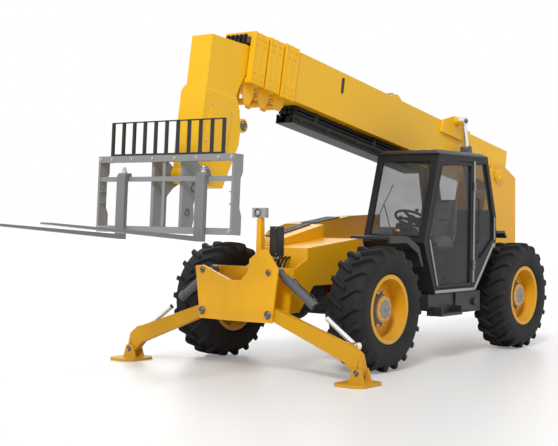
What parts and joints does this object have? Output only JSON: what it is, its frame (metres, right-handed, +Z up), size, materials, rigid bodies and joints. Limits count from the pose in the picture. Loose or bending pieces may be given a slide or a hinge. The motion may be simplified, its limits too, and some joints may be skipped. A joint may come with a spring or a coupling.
{
  "type": "telehandler",
  "caption": "Telescopic handler: four-section boom with pallet forks on a tilting carriage, side cab, side engine, four-wheel steering and two front stabilisers.",
  "frame": {"origin": "centre of the bounding box on the ground plane, under the middle of the machine with its forks", "axes": "+X forwards, along the boom and forks; +Y to the driver's left, the cab's side; +Z up"},
  "size_m": [8.8556, 3.306, 3.4377],
  "materials": {
    "yellow_paint": "gloss machinery yellow",
    "rim_paint": "gloss orange-yellow",
    "dark_paint": "satin near-black",
    "grey_paint": "satin mid grey",
    "tyre_rubber": "dusty black",
    "rod_chrome": "polished",
    "pane": "clear, slightly tinted",
    "seat_cover": "woven grey",
    "trim_plastic": "moulded dark grey",
    "cast_iron": "painted casting"
  },
  "bodies": {
    "machine": {"rear_axle": "cast_iron", "front_axle": "cast_iron", "chassis_frame": "yellow_paint", "boom_tower": "yellow_paint", "counterweight": "yellow_paint", "stabiliser_frame": "yellow_paint", "work_lamp": "grey_paint", "valve_box": "dark_paint", "cab_frame": "dark_paint", "cab_windows": "pane", "cab_roof": "dark_paint", "driver_seat": "seat_cover", "cab_controls": "trim_plastic", "step_boxes": "dark_paint", "mudguards": "trim_plastic", "engine_pod": "yellow_paint", "front_cowl": "yellow_paint", "nose_grille": "dark_paint", "engine_block": "cast_iron"},
    "bonnet_lid": {"bonnet": "yellow_paint", "bonnet_grille": "dark_paint"},
    "door": {"door_frame": "dark_paint", "door_glass": "pane"},
    "boom": {"boom_outer": "yellow_paint", "boom_tray": "dark_paint"},
    "boom_second": {"boom_section_2": "yellow_paint"},
    "boom_third": {"boom_section_3": "yellow_paint"},
    "boom_fly": {"boom_head": "yellow_paint"},
    "fork_carriage": {"carriage": "grey_paint", "load_backrest": "dark_paint", "forks": "dark_paint"},
    "lift_barrel_pair": {"lift_barrels": "dark_paint"},
    "lift_rod_pair": {"lift_rods": "rod_chrome"},
    "leg_left": {"stabiliser_leg_left": "yellow_paint"},
    "foot_left": {"stabiliser_foot_left": "yellow_paint"},
    "leg_barrel_left": {"stabiliser_barrel_left": "dark_paint"},
    "leg_rod_left": {"stabiliser_rod_left": "rod_chrome"},
    "steer_hub_front_left": {"knuckle_front_left": "cast_iron"},
    "wheel_front_left": {"tyre_front_left": "tyre_rubber", "rim_front_left": "rim_paint"},
    "steer_hub_rear_left": {"knuckle_rear_left": "cast_iron"},
    "wheel_rear_left": {"tyre_rear_left": "tyre_rubber", "rim_rear_left": "rim_paint"},
    "leg_right": {"stabiliser_leg_right": "yellow_paint"},
    "foot_right": {"stabiliser_foot_right": "yellow_paint"},
    "leg_barrel_right": {"stabiliser_barrel_right": "dark_paint"},
    "leg_rod_right": {"stabiliser_rod_right": "rod_chrome"},
    "steer_hub_front_right": {"knuckle_front_right": "cast_iron"},
    "wheel_front_right": {"tyre_front_right": "tyre_rubber", "rim_front_right": "rim_paint"},
    "steer_hub_rear_right": {"knuckle_rear_right": "cast_iron"},
    "wheel_rear_right": {"tyre_rear_right": "tyre_rubber", "rim_rear_right": "rim_paint"}
  },
  "joints": [
    {"name": "boom_lift", "type": "hinge", "parent": "machine", "child": "boom", "pos_m": [-3.78283, 0, 2.15], "axis": [0, -1, 0], "range_deg": [-13.3, 58]},
    {"name": "boom_extend_second", "type": "slide", "parent": "boom", "child": "boom_second", "axis": [0.9854, 0, 0.1702], "range_m": [0, 3.6]},
    {"name": "boom_extend_third", "type": "slide", "parent": "boom_second", "child": "boom_third", "axis": [0.9854, 0, 0.1702], "range_m": [0, 3.6]},
    {"name": "boom_extend_fly", "type": "slide", "parent": "boom_third", "child": "boom_fly", "axis": [0.9854, 0, 0.1702], "range_m": [0, 3.6]},
    {"name": "carriage_tilt", "type": "hinge", "parent": "boom_fly", "child": "fork_carriage", "pos_m": [2.15741, 0, 1.97046], "axis": [0, -1, 0], "range_deg": [-60, 15]},
    {"name": "lift_barrel_swing", "type": "hinge", "parent": "machine", "child": "lift_barrel_pair", "pos_m": [-3.04283, 0, 1.15], "axis": [0, -1, 0], "range_deg": [-6.95, 30.3]},
    {"name": "lift_rod_slide", "type": "slide", "parent": "lift_barrel_pair", "child": "lift_rod_pair", "axis": [0.2357, 0, 0.9718], "range_m": [-0.17955, 0.78298]},
    {"name": "bonnet_hinge", "type": "hinge", "parent": "machine", "child": "bonnet_lid", "pos_m": [-1.80283, -0.726, 1.1803], "axis": [0, -1, 0], "range_deg": [0, 45]},
    {"name": "door_hinge", "type": "hinge", "parent": "machine", "child": "door", "pos_m": [-1.46283, 1.12, 0.8], "axis": [0, 0, 1], "range_deg": [0, 90]},
    {"name": "leg_left_swing", "type": "hinge", "parent": "machine", "child": "leg_left", "pos_m": [1.36817, 0.43, 0.6], "axis": [1, 0, 0], "range_deg": [0, 80]},
    {"name": "foot_left_swivel", "type": "hinge", "parent": "leg_left", "child": "foot_left", "pos_m": [1.40717, 1.483, 0.12], "axis": [1, 0, 0], "range_deg": [-20, 20]},
    {"name": "leg_barrel_left_swing", "type": "hinge", "parent": "machine", "child": "leg_barrel_left", "pos_m": [1.26917, 0.43, 1.02], "axis": [1, 0, 0], "range_deg": [0, 76.6]},
    {"name": "leg_rod_left_slide", "type": "slide", "parent": "leg_barrel_left", "child": "leg_rod_left", "axis": [0, 0.8129, -0.5825], "range_m": [-0.54799, 0]},
    {"name": "leg_right_swing", "type": "hinge", "parent": "machine", "child": "leg_right", "pos_m": [1.36817, -0.43, 0.6], "axis": [-1, 0, 0], "range_deg": [0, 80]},
    {"name": "foot_right_swivel", "type": "hinge", "parent": "leg_right", "child": "foot_right", "pos_m": [1.40717, -1.483, 0.12], "axis": [-1, 0, 0], "range_deg": [-20, 20]},
    {"name": "leg_barrel_right_swing", "type": "hinge", "parent": "machine", "child": "leg_barrel_right", "pos_m": [1.26917, -0.43, 1.02], "axis": [-1, 0, 0], "range_deg": [0, 76.6]},
    {"name": "leg_rod_right_slide", "type": "slide", "parent": "leg_barrel_right", "child": "leg_rod_right", "axis": [0, -0.8129, -0.5825], "range_m": [-0.54799, 0]},
    {"name": "steer_rear_left", "type": "hinge", "parent": "machine", "child": "steer_hub_rear_left", "pos_m": [-2.64283, 0.72, 0.64326], "axis": [0, 0, 1], "range_deg": [-30, 30]},
    {"name": "roll_rear_left", "type": "hinge", "parent": "steer_hub_rear_left", "child": "wheel_rear_left", "pos_m": [-2.64283, 1.0225, 0.64326], "axis": [0, 1, 0], "continuous": true},
    {"name": "steer_rear_right", "type": "hinge", "parent": "machine", "child": "steer_hub_rear_right", "pos_m": [-2.64283, -0.72, 0.64326], "axis": [0, 0, 1], "range_deg": [-30, 30]},
    {"name": "roll_rear_right", "type": "hinge", "parent": "steer_hub_rear_right", "child": "wheel_rear_right", "pos_m": [-2.64283, -1.0225, 0.64326], "axis": [0, 1, 0], "continuous": true},
    {"name": "steer_front_left", "type": "hinge", "parent": "machine", "child": "steer_hub_front_left", "pos_m": [0.41717, 0.72, 0.64326], "axis": [0, 0, 1], "range_deg": [-30, 30]},
    {"name": "roll_front_left", "type": "hinge", "parent": "steer_hub_front_left", "child": "wheel_front_left", "pos_m": [0.41717, 1.0225, 0.64326], "axis": [0, 1, 0], "continuous": true},
    {"name": "steer_front_right", "type": "hinge", "parent": "machine", "child": "steer_hub_front_right", "pos_m": [0.41717, -0.72, 0.64326], "axis": [0, 0, 1], "range_deg": [-30, 30]},
    {"name": "roll_front_right", "type": "hinge", "parent": "steer_hub_front_right", "child": "wheel_front_right", "pos_m": [0.41717, -1.0225, 0.64326], "axis": [0, 1, 0], "continuous": true}
  ],
  "couplings": [
    {"joint": "boom_extend_third", "follows": "boom_extend_second", "ratio": 1},
    {"joint": "boom_extend_fly", "follows": "boom_extend_second", "ratio": 1},
    {"joint": "lift_barrel_swing", "follows": "boom_lift", "ratio": 0.52217},
    {"joint": "lift_rod_slide", "follows": "boom_lift", "m_per_rad": 0.77309},
    {"joint": "leg_barrel_left_swing", "follows": "leg_left_swing", "ratio": 0.95704},
    {"joint": "leg_rod_left_slide", "follows": "leg_left_swing", "m_per_rad": -0.39227},
    {"joint": "leg_barrel_right_swing", "follows": "leg_right_swing", "ratio": 0.95704},
    {"joint": "leg_rod_right_slide", "follows": "leg_right_swing", "m_per_rad": -0.39227},
    {"joint": "steer_rear_right", "follows": "steer_rear_left", "ratio": 1},
    {"joint": "steer_front_right", "follows": "steer_front_left", "ratio": 1}
  ]
}
